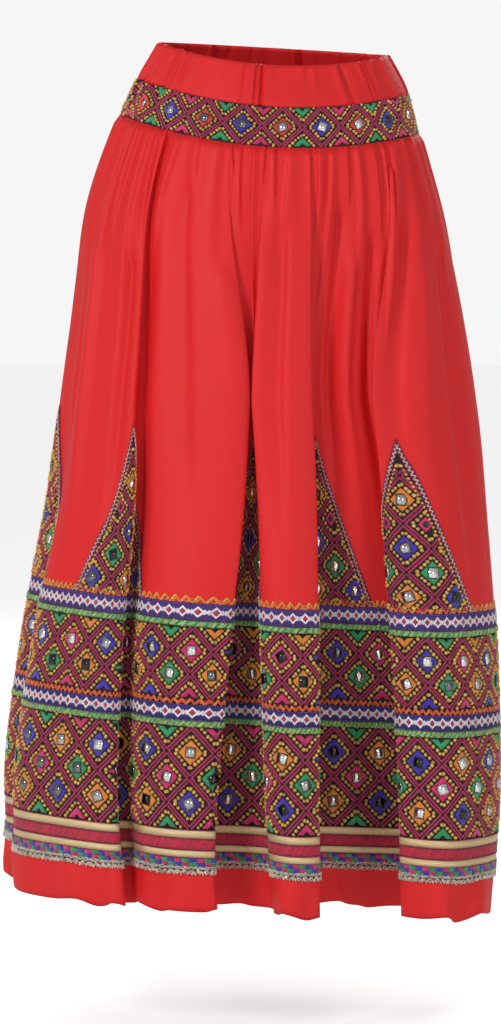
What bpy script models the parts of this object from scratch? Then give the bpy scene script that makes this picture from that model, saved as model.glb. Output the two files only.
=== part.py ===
"""Lehenga skirt as it is worn: an open tube of cloth, gathered at the waist and folded at the hem.

Metres, +Z up. The origin is the middle of the waist. -Y is the side that is looked at, +X its
right. A place on the cloth is a column and a drop: the column counts half diamonds of the
embroidery round the flat hem, and the drop is the distance down from the waist edge.
"""

import copy
import math

import bmesh
import bpy
import numpy as np

# Driving dimensions
COLUMN = 0.0286  # half the width of one embroidered diamond on the flat cloth
COLUMNS = 84  # half diamonds round the hem, which makes a hem of 2.40 m
SEAMS = (0.0, 42.0)  # the two side seams, half the cloth apart
CLOTH = 0.002  # thickness of a cloth wall
TRIM = 0.0012  # thickness of a trim or of an embroidered triangle
GAP = 0.0003  # between pieces, at a seam and under a trim

# Drops of the seams and of the edges of the trims
BAND_TOP = 0.051
BODY_TOP = 0.102
LACE_TOP = 0.634
CORD_TOP = 0.654
PANEL_1_TOP = 0.661
PANEL_2_TOP = 0.749
CORD_2_TOP = 0.767
CORD_2_END = 0.774
HEM_TOP = 0.889
RIBBON_TOP = 0.921
SILVER_TOP = 0.930
SILVER_END = 0.938
LENGTH = 0.982
BODY_FOLDS_BEGIN = 0.070
KNEE = 0.400  # the drop where the folds have their upper shape
BAND_LEAN = 0.42  # how far the gathers at the band bunch where the folds below them lie
PLEAT = 0.0035  # how far the small pleats below the band stand in and out
PLEAT_COLUMNS = 2.8  # from one small pleat to the next
PLEATS_END = 0.360
BODY_DROPS = (BODY_TOP, 0.160, 0.230, 0.310, KNEE, 0.475, 0.555, LACE_TOP, PANEL_1_TOP)

# Triangles on the body
GODETS = 9
GODET_PITCH = COLUMNS / GODETS
FIRST_GODET = 0.25  # column of the first triangle's middle
GODET_APEX = 0.452  # drop of its point
GODET_FOOT = 0.6335
GODET_HALF_BASE = 0.078
BRAID_WIDTH = 0.0065
BRAID_GAP = 0.0016  # from the braid to the triangle on the flat cloth, which the folds narrow

# The outline, seen from the front and from the side: a row for each level
OUTLINE = (
    # drop, half width, half depth, shift right, slope down to the right, fall, sag at the back
    (0.000, 0.132, 0.105, 0.000, 0.058, 0.006, 0.017),
    (0.051, 0.156, 0.130, -0.001, 0.061, 0.049, 0.021),
    (0.102, 0.172, 0.147, -0.004, 0.064, 0.092, 0.023),
    (0.200, 0.204, 0.168, -0.007, 0.063, 0.192, 0.020),
    (0.290, 0.222, 0.181, -0.005, 0.062, 0.285, 0.014),
    (0.412, 0.241, 0.194, -0.004, 0.060, 0.409, 0.008),
    (0.540, 0.254, 0.206, -0.007, 0.058, 0.539, 0.003),
    (0.680, 0.272, 0.220, -0.016, 0.056, 0.680, 0.000),
    (0.780, 0.281, 0.228, -0.022, 0.054, 0.780, 0.000),
    (0.850, 0.285, 0.232, -0.026, 0.052, 0.851, 0.000),
    (0.982, 0.279, 0.230, -0.028, 0.040, 0.985, 0.000),
)

# The folds: a row for each fold edge and each valley, once round the skirt from its left seam.
# Across and near are shares of the half width and half depth, to the right and towards -Y.
FOLDS = (
    # column, across at the hem, near at the hem, across at the knee, near at the knee
    (0.0, -1.00, 0.00, -1.00, 0.03),
    (1.9, -0.90, 0.20, -0.95, 0.22),
    (3.8, -0.96, 0.42, -0.93, 0.44),
    (6.8, -0.78, 0.70, -0.80, 0.67),
    (10.0, -0.505, 0.84, -0.635, 0.79),
    (10.8, -0.53, 0.75, -0.63, 0.72),
    (11.5, -0.47, 0.72, -0.595, 0.71),
    (12.9, -0.40, 0.86, -0.55, 0.83),
    (14.5, -0.25, 0.95, -0.34, 0.97),
    (15.6, -0.145, 0.93, -0.112, 0.985),
    (17.1, -0.22, 0.78, -0.15, 0.91),
    (18.4, -0.12, 0.69, -0.09, 0.88),
    (20.6, 0.09, 0.72, -0.055, 0.91),
    (22.0, 0.108, 0.90, -0.085, 0.99),
    (23.4, 0.20, 1.02, 0.06, 1.03),
    (24.5, 0.29, 0.96, 0.195, 0.98),
    (26.4, 0.19, 0.76, 0.135, 0.89),
    (28.1, 0.25, 0.57, 0.20, 0.81),
    (30.2, 0.45, 0.50, 0.33, 0.82),
    (32.3, 0.66, 0.48, 0.46, 0.78),
    (33.8, 0.80, 0.55, 0.57, 0.76),
    (36.7, 0.625, 0.80, 0.50, 0.88),
    (38.5, 0.78, 0.92, 0.70, 0.80),
    (40.8, 0.94, 0.74, 0.90, 0.55),
    (42.8, 1.00, 0.50, 1.00, 0.22),
    (44.9, 0.92, 0.26, 0.96, 0.05),
    (46.5, 0.84, 0.10, 0.93, -0.06),
    (48.4, 0.95, -0.10, 0.98, -0.20),
    (51.8, 0.90, -0.50, 0.88, -0.50),
    (55.1, 0.68, -0.78, 0.68, -0.76),
    (56.7, 0.65, -0.60, 0.66, -0.67),
    (58.1, 0.51, -0.64, 0.55, -0.76),
    (60.5, 0.42, -0.90, 0.45, -0.90),
    (63.4, 0.15, -1.02, 0.17, -1.01),
    (65.8, -0.08, -0.98, -0.05, -1.00),
    (67.8, 0.00, -0.76, -0.02, -0.90),
    (69.5, -0.16, -0.70, -0.14, -0.88),
    (71.8, -0.30, -0.92, -0.28, -0.95),
    (74.0, -0.52, -0.90, -0.50, -0.88),
    (76.5, -0.72, -0.74, -0.70, -0.74),
    (78.1, -0.68, -0.55, -0.70, -0.65),
    (79.7, -0.80, -0.42, -0.82, -0.52),
    (81.2, -0.93, -0.32, -0.92, -0.36),
)


def smooth_rows(rows, at):
    """The table's columns at these values of its first one, on a smooth curve through its rows."""
    rows = np.asarray(rows, float)
    at = np.asarray(at, float)
    keys = rows[:, 0]
    slopes = np.gradient(rows[:, 1:], keys, axis=0)
    row = np.clip(np.searchsorted(keys, at, side="right") - 1, 0, len(keys) - 2)
    step = (keys[row + 1] - keys[row])[..., None]
    t = (at - keys[row])[..., None] / step
    blend = t * t * (3 - 2 * t)
    straight = rows[row, 1:] * (1 - blend) + rows[row + 1, 1:] * blend
    return straight + step * t * (1 - t) * ((1 - t) * slopes[row] - t * slopes[row + 1])


def folds_at(column, across, near):
    """Turn and reach at these places round the skirt, from two columns of the fold table."""
    table = np.array(FOLDS)
    turn = np.unwrap(np.arctan2(table[:, across], table[:, near]))
    reach = np.hypot(table[:, across], table[:, near])
    once = np.stack((table[:, 0], turn, reach), axis=-1)
    round_again = np.array((COLUMNS, 2 * math.pi, 0))
    return smooth_rows(np.concatenate((once - round_again, once, once + round_again)), column)


def ease(share):
    share = np.clip(share, 0, 1)
    return share * share * (3 - 2 * share)


def cloth(column, drop):
    """The point of the cloth's outer side at this column and drop."""
    column, drop = np.broadcast_arrays(np.asarray(column, float), np.asarray(drop, float))
    level = smooth_rows(OUTLINE, drop)
    low = np.clip((drop - KNEE) / (LENGTH - KNEE), 0, 1)[..., None]
    folded = folds_at(column, 3, 4) * (1 - low) + folds_at(column, 1, 2) * low
    even = column * 2 * math.pi / COLUMNS - math.pi / 2
    even += (folds_at(column, 3, 4)[..., 0] - even) * BAND_LEAN
    opened = ease((drop - BODY_FOLDS_BEGIN) / (KNEE - BODY_FOLDS_BEGIN))
    turn = even + (folded[..., 0] - even) * opened
    reach = 1 + (folded[..., 1] - 1) * opened
    pleated = ease((drop - BAND_TOP) / BAND_TOP) - ease(drop / PLEATS_END)
    wave = np.cos(2 * math.pi * column / PLEAT_COLUMNS)
    reach = reach + PLEAT / level[..., 1] * wave * np.clip(pleated, 0, 1)
    x = level[..., 0] * reach * np.sin(turn)
    y = -level[..., 1] * reach * np.cos(turn)
    sag = level[..., 5] * np.maximum(np.cos(turn), 0) ** 2
    z = -level[..., 4] - level[..., 3] * x - sag
    return np.stack((x + level[..., 2], y, z), axis=-1)


def sample_columns():
    """The columns that a wall has points at: the seams, every fold row, and one between far rows."""
    far = 2.4
    rows = sorted({row[0] for row in FOLDS}.union(SEAMS))
    columns = []
    for here, after in zip(rows, rows[1:] + [COLUMNS]):
        parts = 2 if after - here > far else 1
        columns += [here + (after - here) * part / parts for part in range(parts)]
    return columns


def columns_between(first, last):
    """The sample columns from the one at or before the first to the one at or after the last."""
    once = sample_columns()
    rounds = [column + turn * COLUMNS for turn in (-1, 0, 1) for column in once]
    start = np.searchsorted(rounds, first, side="right") - 1
    return rounds[start : np.searchsorted(rounds, last) + 1]


def square_to(side):
    """The way out of the cloth beside this step along a level, in plan."""
    square = np.stack((side[:, 1], -side[:, 0], np.zeros(len(side))), axis=-1)
    return square / np.linalg.norm(square, axis=-1, keepdims=True)


def ring(columns, drop, closed):
    """The points round one level, and the way out of the cloth at each, square to its two sides."""
    points = cloth(columns, drop)
    if closed:
        sides = square_to(np.roll(points, -1, axis=0) - points)
        out = sides + np.roll(sides, 1, axis=0)
    else:
        beside = 0.4
        last = np.array(columns)[[0, -1]]
        ends = cloth(last + beside, drop) - cloth(last - beside, drop)
        sides = square_to(points[1:] - points[:-1])
        out = np.concatenate((2 * square_to(ends[:1]), sides[1:] + sides[:-1], 2 * square_to(ends[1:])))
        along = ends / np.linalg.norm(ends, axis=-1, keepdims=True)
        points[0] += along[0] * GAP / 2
        points[-1] -= along[1] * GAP / 2
    widest_miter = 0.4
    out /= np.maximum((out**2).sum(axis=-1, keepdims=True) / 2, widest_miter)
    return points, out


class Panel:
    """A grid of columns and drops on the cloth, joined by flat triangles."""

    def __init__(self, columns, drops, closed=False):
        self.columns = np.array(columns)
        self.drops = np.array(drops)
        self.closed = closed
        rings = [ring(columns, drop, closed) for drop in drops]
        self.points = np.array([points for points, _ in rings])
        self.out = np.array([out for _, out in rings])

    def strip(self, top, bottom):
        """The part of this panel between two drops, on its own triangles."""
        part = copy.copy(self)
        part.drops = np.array((top, bottom))
        j = np.clip(np.searchsorted(self.drops, part.drops, side="right") - 1, 0, len(self.drops) - 2)
        share = ((part.drops - self.drops[j]) / (self.drops[j + 1] - self.drops[j]))[:, None, None]
        part.points = self.points[j] * (1 - share) + self.points[j + 1] * share
        part.out = self.out[j] * (1 - share) + self.out[j + 1] * share
        return part

    def place(self, column, drop, height):
        """The point on the panel's triangles at this column and drop, moved out by the height."""
        i = int(np.clip(np.searchsorted(self.columns, column) - 1, 0, len(self.columns) - 2))
        j = int(np.clip(np.searchsorted(self.drops, drop) - 1, 0, len(self.drops) - 2))
        s = (column - self.columns[i]) / (self.columns[i + 1] - self.columns[i])
        t = (drop - self.drops[j]) / (self.drops[j + 1] - self.drops[j])
        grid = self.points + self.out * height
        corner, across, down, far = grid[j, i], grid[j, i + 1], grid[j + 1, i], grid[j + 1, i + 1]
        if s > t:
            return corner + s * (across - corner) + t * (far - across)
        return corner + t * (down - corner) + s * (far - down)


def new_object(name, bm, material):
    mesh = bpy.data.meshes.new(name)
    bm.to_mesh(mesh)
    bm.free()
    mesh.shade_smooth()
    mesh.set_sharp_from_angle(angle=math.radians(40))
    mesh.materials.append(material)
    piece = bpy.data.objects.new(name, mesh)
    bpy.context.scene.collection.objects.link(piece)
    return piece


def wall(name, panel, material, lowest=0.0, thickness=CLOTH):
    """A closed wall over a panel, from the lowest height above the cloth's outer side outwards."""
    bm = bmesh.new()
    sides = []
    for height in (lowest, lowest + thickness):
        grid = panel.points + panel.out * height
        sides.append([[bm.verts.new(point) for point in level] for level in grid])
    inner, outer = sides
    levels, count = panel.points.shape[:2]
    for i in range(count if panel.closed else count - 1):
        k = (i + 1) % count
        for j in range(levels - 1):
            bm.faces.new((outer[j][i], outer[j + 1][i], outer[j + 1][k], outer[j][k]))
            bm.faces.new((inner[j][i], inner[j][k], inner[j + 1][k], inner[j + 1][i]))
        bm.faces.new((outer[0][i], outer[0][k], inner[0][k], inner[0][i]))
        bm.faces.new((outer[-1][i], inner[-1][i], inner[-1][k], outer[-1][k]))
    if not panel.closed:
        for j in range(levels - 1):
            bm.faces.new((outer[j][0], inner[j][0], inner[j + 1][0], outer[j + 1][0]))
            bm.faces.new((outer[j][-1], outer[j + 1][-1], inner[j + 1][-1], inner[j][-1]))
    bmesh.ops.triangulate(bm, faces=bm.faces[:], quad_method="FIXED")
    return new_object(name, bm, material)


def halves(name, drops, material):
    """The two panels of one strip, between the side seams, under the cloth's outer side."""
    left, right = SEAMS
    for side, first, last in (("back", left, right), ("front", right, left + COLUMNS)):
        wall(f"{name}_{side}", Panel(columns_between(first, last), drops), material, lowest=-CLOTH)


def trim(name, under, top, bottom, material):
    """A continuous trim between two drops, lying on the panels that have rings at the drops under it."""
    panel = Panel(sample_columns(), under, closed=True).strip(top, bottom)
    wall(name, panel, material, lowest=GAP * 2, thickness=TRIM)


def cut_flat(panel, lines):
    """The panel's triangles laid flat, in metres of cloth, split along each line (point, direction)."""
    bm = bmesh.new()
    grid = [
        [bm.verts.new((column * COLUMN, drop, 0)) for column in panel.columns]
        for drop in panel.drops
    ]
    for j in range(len(panel.drops) - 1):
        for i in range(len(panel.columns) - 1):
            far = grid[j + 1][i + 1]
            bm.faces.new((grid[j][i], grid[j + 1][i], far))
            bm.faces.new((grid[j][i], far, grid[j][i + 1]))
    for point, direction in lines:
        everything = bm.verts[:] + bm.edges[:] + bm.faces[:]
        across = (-direction[1], direction[0], 0)
        bmesh.ops.bisect_plane(
            bm, geom=everything, plane_co=(*point, 0), plane_no=across, dist=1e-7
        )
    return bm


def applique(name, panel, lines, inside, material):
    """What is left of the panel inside a shape, as a closed piece that lies on it."""
    flat = cut_flat(panel, lines)
    outside = [face for face in flat.faces if not inside(*face.calc_center_median()[:2])]
    bmesh.ops.delete(flat, geom=outside, context="FACES")
    bm = bmesh.new()
    inner, outer = (
        {
            vert: bm.verts.new(panel.place(vert.co.x / COLUMN, vert.co.y, height))
            for vert in flat.verts
        }
        for height in (GAP, GAP + TRIM)
    )
    for face in flat.faces:
        bm.faces.new([outer[vert] for vert in face.verts])
        bm.faces.new([inner[vert] for vert in reversed(face.verts)])
    for edge in flat.edges:
        if edge.is_boundary:
            loop = edge.link_loops[0]
            here, after = loop.vert, loop.link_loop_next.vert
            bm.faces.new((outer[after], outer[here], inner[here], inner[after]))
    flat.free()
    bmesh.ops.recalc_face_normals(bm, faces=bm.faces[:])
    return new_object(name, bm, material)


def godet(number, cloth_material, braid_material):
    """One embroidered triangle, and the braid along its two long edges."""
    middle = (FIRST_GODET + (number - 1) * GODET_PITCH) * COLUMN
    height = GODET_FOOT - GODET_APEX
    slope = GODET_HALF_BASE / height
    braid_across = BRAID_WIDTH * math.hypot(1, slope)
    gap_across = BRAID_GAP * math.hypot(1, slope)

    def half_width(drop, less):
        return (drop - GODET_APEX) * slope - less

    def lines(less):
        apex = (middle, GODET_APEX + less / slope)
        return [(apex, (slope, 1)), (apex, (-slope, 1))]

    def in_braid(across, drop):
        away = abs(across - middle)
        return half_width(drop, braid_across) < away < half_width(drop, 0) and drop < GODET_FOOT

    def in_cloth(across, drop):
        inset = braid_across + gap_across
        return abs(across - middle) < half_width(drop, inset) and drop < GODET_FOOT

    reach = GODET_HALF_BASE + GAP
    columns = columns_between((middle - reach) / COLUMN, (middle + reach) / COLUMN)
    panel = Panel(columns, BODY_DROPS[BODY_DROPS.index(KNEE) :])
    foot = [((middle, GODET_FOOT), (1, 0))]
    cloth_lines = lines(braid_across + gap_across) + foot
    braid_lines = lines(0) + lines(braid_across) + foot
    applique(f"godet_{number}", panel, cloth_lines, in_cloth, cloth_material)
    applique(f"godet_braid_{number}", panel, braid_lines, in_braid, braid_material)


def material(name, colour, roughness, metallic=0.0):
    made = bpy.data.materials.new(name)
    made.use_nodes = True
    shader = made.node_tree.nodes["Principled BSDF"]
    shader.inputs["Base Color"].default_value = (*colour, 1)
    shader.inputs["Roughness"].default_value = roughness
    shader.inputs["Metallic"].default_value = metallic
    return made


for leftover in list(bpy.data.objects):
    bpy.data.objects.remove(leftover, do_unlink=True)

red = material("red_cotton", (0.85, 0.03, 0.03), 0.6)
embroidered = material("mirror_embroidery", (0.10, 0.03, 0.05), 0.8)
purple = material("purple_lace", (0.12, 0.05, 0.22), 0.8)
green = material("green_cord", (0.25, 0.45, 0.15), 0.7)
silver = material("silver_lace", (0.60, 0.56, 0.48), 0.5, 0.4)
gold = material("gold_braid", (0.65, 0.42, 0.16), 0.4, 0.6)
ribbon = material("check_ribbon", (0.15, 0.25, 0.35), 0.7)

halves("yoke", (0.0, BAND_TOP), red)
halves("band", (BAND_TOP + GAP, BODY_TOP), embroidered)
halves("body", (BODY_TOP + GAP, *BODY_DROPS[1:]), red)
halves("border_upper", (PANEL_1_TOP + GAP, PANEL_2_TOP), embroidered)
halves("border_lower", (PANEL_2_TOP + GAP, CORD_2_END, HEM_TOP), embroidered)
halves("hem", (HEM_TOP + GAP, RIBBON_TOP, SILVER_END, LENGTH), red)

trim("upper_lace", BODY_DROPS[-2:], LACE_TOP, CORD_TOP, purple)
trim("upper_cord", BODY_DROPS[-2:], CORD_TOP + GAP, PANEL_1_TOP, green)
trim("middle_lace", (PANEL_2_TOP + GAP, CORD_2_END), PANEL_2_TOP + GAP, CORD_2_TOP, purple)
trim("middle_cord", (PANEL_2_TOP + GAP, CORD_2_END), CORD_2_TOP + GAP, CORD_2_END, green)
trim("crimson_braid", (HEM_TOP + GAP, RIBBON_TOP), HEM_TOP + GAP, RIBBON_TOP, gold)
trim("check_ribbon", (RIBBON_TOP, SILVER_END), RIBBON_TOP + GAP, SILVER_TOP, ribbon)
trim("silver_lace", (RIBBON_TOP, SILVER_END), SILVER_TOP + GAP, SILVER_END, silver)
for number in range(1, GODETS + 1):
    godet(number, embroidered, silver)
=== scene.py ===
# %% [markdown]
# # A long red lehenga skirt with mirror work
# This lesson dresses a plain, hard model of a gathered skirt. The real skirt is red cotton silk
# with a smooth waist yoke, an embroidered waist band, a pleated body and two rows of mirror-work
# panel between laces. Every cloth is a thin closed sheet laid on one shared surface, and every
# stitch, mirror and knot is modelled once and stamped on that surface many times.

# %% Load the fixed model
import math

import bpy
import numpy as np
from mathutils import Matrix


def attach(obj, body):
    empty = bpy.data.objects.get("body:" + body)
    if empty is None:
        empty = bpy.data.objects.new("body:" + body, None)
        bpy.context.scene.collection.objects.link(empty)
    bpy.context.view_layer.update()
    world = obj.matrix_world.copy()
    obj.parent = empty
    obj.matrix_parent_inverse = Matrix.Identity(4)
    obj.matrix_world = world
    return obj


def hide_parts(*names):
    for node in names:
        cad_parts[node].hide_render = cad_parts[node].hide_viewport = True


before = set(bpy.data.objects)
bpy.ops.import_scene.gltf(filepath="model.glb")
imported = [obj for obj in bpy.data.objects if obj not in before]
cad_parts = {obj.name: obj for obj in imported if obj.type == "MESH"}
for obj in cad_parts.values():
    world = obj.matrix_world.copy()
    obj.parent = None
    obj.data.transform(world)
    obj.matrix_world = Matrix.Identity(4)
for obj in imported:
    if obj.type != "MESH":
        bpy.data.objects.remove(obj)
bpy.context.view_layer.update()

# %% [markdown]
# ## The shape of the cloth
# A place on the skirt is a column and a drop. Columns count half diamonds of the embroidery round
# the hem, and the drop is the way down from the waist. The outline table gives the skirt's size at
# each level, and the fold table says where each fold edge and valley lies. These are the tables
# that the hard model was built from, so everything made here lies where it does.

# %% The driving sizes and the two tables
COLUMN = 0.0286
COLUMNS = 84
CLOTH = 0.0012
BAND_TOP, BODY_TOP = 0.051, 0.102
LACE_TOP, CORD_TOP, PANEL_1_TOP = 0.634, 0.654, 0.661
PANEL_2_TOP, CORD_2_TOP, CORD_2_END = 0.749, 0.767, 0.774
HEM_TOP, RIBBON_TOP, SILVER_TOP, SILVER_END, LENGTH = 0.889, 0.921, 0.930, 0.938, 0.982
BODY_FOLDS_BEGIN, KNEE, BAND_LEAN = 0.070, 0.400, 0.42
GODETS, FIRST_GODET = 9, 0.25
GODET_APEX, GODET_FOOT, GODET_HALF_BASE = 0.452, 0.6335, 0.078
BRAID_WIDTH = 0.0065

OUTLINE = (
    # drop, half width, half depth, shift right, slope down to the right, fall, sag at the back
    (0.000, 0.132, 0.105, 0.000, 0.058, 0.006, 0.017),
    (0.051, 0.156, 0.130, -0.001, 0.061, 0.049, 0.021),
    (0.102, 0.172, 0.147, -0.004, 0.064, 0.092, 0.023),
    (0.200, 0.204, 0.168, -0.007, 0.063, 0.192, 0.020),
    (0.290, 0.222, 0.181, -0.005, 0.062, 0.285, 0.014),
    (0.412, 0.241, 0.194, -0.004, 0.060, 0.409, 0.008),
    (0.540, 0.254, 0.206, -0.007, 0.058, 0.539, 0.003),
    (0.680, 0.272, 0.220, -0.016, 0.056, 0.680, 0.000),
    (0.780, 0.281, 0.228, -0.022, 0.054, 0.780, 0.000),
    (0.850, 0.285, 0.232, -0.026, 0.052, 0.851, 0.000),
    (0.982, 0.279, 0.230, -0.028, 0.040, 0.985, 0.000),
)
FOLDS = (
    # column, across at the hem, near at the hem, across at the knee, near at the knee
    (0.0, -1.00, 0.00, -1.00, 0.03),
    (1.9, -0.90, 0.20, -0.95, 0.22),
    (3.8, -0.96, 0.42, -0.93, 0.44),
    (6.8, -0.78, 0.70, -0.80, 0.67),
    (10.0, -0.505, 0.84, -0.635, 0.79),
    (10.8, -0.53, 0.75, -0.63, 0.72),
    (11.5, -0.47, 0.72, -0.595, 0.71),
    (12.9, -0.40, 0.86, -0.55, 0.83),
    (14.5, -0.25, 0.95, -0.34, 0.97),
    (15.6, -0.145, 0.93, -0.112, 0.985),
    (17.1, -0.22, 0.78, -0.15, 0.91),
    (18.4, -0.12, 0.69, -0.09, 0.88),
    (20.6, 0.09, 0.72, -0.055, 0.91),
    (22.0, 0.108, 0.90, -0.085, 0.99),
    (23.4, 0.20, 1.02, 0.06, 1.03),
    (24.5, 0.29, 0.96, 0.195, 0.98),
    (26.4, 0.19, 0.76, 0.135, 0.89),
    (28.1, 0.25, 0.57, 0.20, 0.81),
    (30.2, 0.45, 0.50, 0.33, 0.82),
    (32.3, 0.66, 0.48, 0.46, 0.78),
    (33.8, 0.80, 0.55, 0.57, 0.76),
    (36.7, 0.625, 0.80, 0.50, 0.88),
    (38.5, 0.78, 0.92, 0.70, 0.80),
    (40.8, 0.94, 0.74, 0.90, 0.55),
    (42.8, 1.00, 0.50, 1.00, 0.22),
    (44.9, 0.92, 0.26, 0.96, 0.05),
    (46.5, 0.84, 0.10, 0.93, -0.06),
    (48.4, 0.95, -0.10, 0.98, -0.20),
    (51.8, 0.90, -0.50, 0.88, -0.50),
    (55.1, 0.68, -0.78, 0.68, -0.76),
    (56.7, 0.65, -0.60, 0.66, -0.67),
    (58.1, 0.51, -0.64, 0.55, -0.76),
    (60.5, 0.42, -0.90, 0.45, -0.90),
    (63.4, 0.15, -1.02, 0.17, -1.01),
    (65.8, -0.08, -0.98, -0.05, -1.00),
    (67.8, 0.00, -0.76, -0.02, -0.90),
    (69.5, -0.16, -0.70, -0.14, -0.88),
    (71.8, -0.30, -0.92, -0.28, -0.95),
    (74.0, -0.52, -0.90, -0.50, -0.88),
    (76.5, -0.72, -0.74, -0.70, -0.74),
    (78.1, -0.68, -0.55, -0.70, -0.65),
    (79.7, -0.80, -0.42, -0.82, -0.52),
    (81.2, -0.93, -0.32, -0.92, -0.36),
)
print("flat hem", round(COLUMN * COLUMNS, 2), "m,", len(FOLDS), "fold edges and valleys")
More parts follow.
